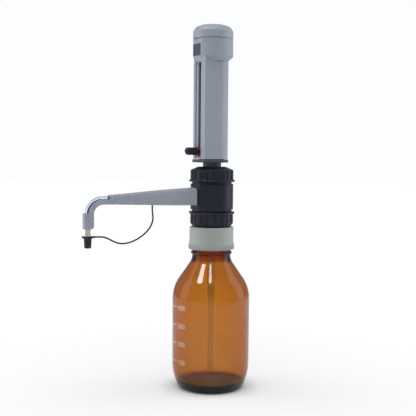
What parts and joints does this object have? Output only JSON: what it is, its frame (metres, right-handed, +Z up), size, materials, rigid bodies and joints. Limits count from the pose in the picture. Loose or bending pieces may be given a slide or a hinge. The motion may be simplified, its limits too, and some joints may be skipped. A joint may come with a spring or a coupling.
{
  "type": "bottle-top dispenser",
  "caption": "Bottle-top dispenser: tall slotted pump housing over a valve block with a bent discharge arm, screwed on an amber glass bottle.",
  "frame": {"origin": "centre of the bottle's foot ring, on the surface that it stands on", "axes": "+Z up along the bottle's axis; the discharge arm and the volume scale face -X"},
  "size_m": [0.1934, 0.086, 0.4029],
  "materials": {
    "amber_glass": "gloss",
    "clear_glass": "gloss",
    "grey_plastic": "satin",
    "dark_grey_plastic": "satin",
    "navy_plastic": "satin",
    "window_plastic": "gloss",
    "adapter_plastic": "satin",
    "red_plastic": "gloss",
    "white_plastic": "satin",
    "strip_film": "satin",
    "seal_rubber": "matte",
    "cord_rubber": "matte",
    "clear_hose": "gloss",
    "steel": "brushed",
    "ceramic_ball": "gloss"
  },
  "bodies": {
    "bottle": {"bottle": "amber_glass"},
    "neck_adapter": {"neck_adapter": "adapter_plastic", "neck_seal": "seal_rubber", "lower_ring_nut": "navy_plastic"},
    "valve_block": {"valve_block": "navy_plastic", "inlet_valve_cage": "white_plastic", "intake_tube": "clear_hose", "outlet_valve_cage": "white_plastic", "vent_plug": "navy_plastic", "arm_body": "grey_plastic", "arm_cover": "grey_plastic", "discharge_hose": "clear_hose", "nozzle": "white_plastic", "tether": "cord_rubber", "upper_ring_nut": "navy_plastic", "cylinder_sleeve": "dark_grey_plastic", "stop_ring": "dark_grey_plastic", "glass_cylinder": "clear_glass", "cylinder_seal": "seal_rubber"},
    "inlet_ball": {"inlet_ball": "ceramic_ball"},
    "outlet_ball": {"outlet_ball": "ceramic_ball"},
    "intake_extension": {"intake_extension": "clear_hose"},
    "nozzle_cap": {"nozzle_cap": "navy_plastic"},
    "pump_housing": {"housing_front": "grey_plastic", "housing_rear": "grey_plastic", "housing_foot": "dark_grey_plastic", "top_cap": "grey_plastic", "range_window": "window_plastic", "scale_strip": "strip_film", "piston": "white_plastic", "piston_seal": "white_plastic", "piston_rod": "steel", "rod_carrier": "grey_plastic", "rod_nut": "steel"},
    "volume_slide": {"slide_block": "white_plastic", "pointer": "red_plastic"},
    "lock_knob": {"lock_screw": "steel", "lock_knob": "navy_plastic"}
  },
  "joints": [
    {"name": "adapter_lift", "type": "slide", "parent": "bottle", "child": "neck_adapter", "axis": [0, 0, 1], "range_m": [0, 0.17]},
    {"name": "dispenser_swivel", "type": "hinge", "parent": "neck_adapter", "child": "valve_block", "pos_m": [0, 0, 0.19], "axis": [0, 0, 1], "continuous": true},
    {"name": "pump_stroke", "type": "slide", "parent": "valve_block", "child": "pump_housing", "axis": [0, 0, 1], "range_m": [0, 0.084]},
    {"name": "volume_setting", "type": "slide", "parent": "pump_housing", "child": "volume_slide", "axis": [0, 0, 1], "range_m": [0, 0.084]},
    {"name": "lock_knob_turn", "type": "hinge", "parent": "volume_slide", "child": "lock_knob", "pos_m": [-0.02, 0, 0.2644], "axis": [-1, 0, 0], "range_deg": [-270, 0]},
    {"name": "nozzle_cap_pull", "type": "slide", "parent": "valve_block", "child": "nozzle_cap", "axis": [0, 0, -1], "range_m": [0, 0.015]},
    {"name": "filling_tube_telescope", "type": "slide", "parent": "valve_block", "child": "intake_extension", "axis": [0, 0, 1], "range_m": [-0.003, 0.05]},
    {"name": "inlet_valve_lift", "type": "slide", "parent": "valve_block", "child": "inlet_ball", "axis": [0, 0, 1], "range_m": [0, 0.0012]},
    {"name": "outlet_valve_lift", "type": "slide", "parent": "valve_block", "child": "outlet_ball", "axis": [-1, 0, 0], "range_m": [0, 0.001]}
  ]
}
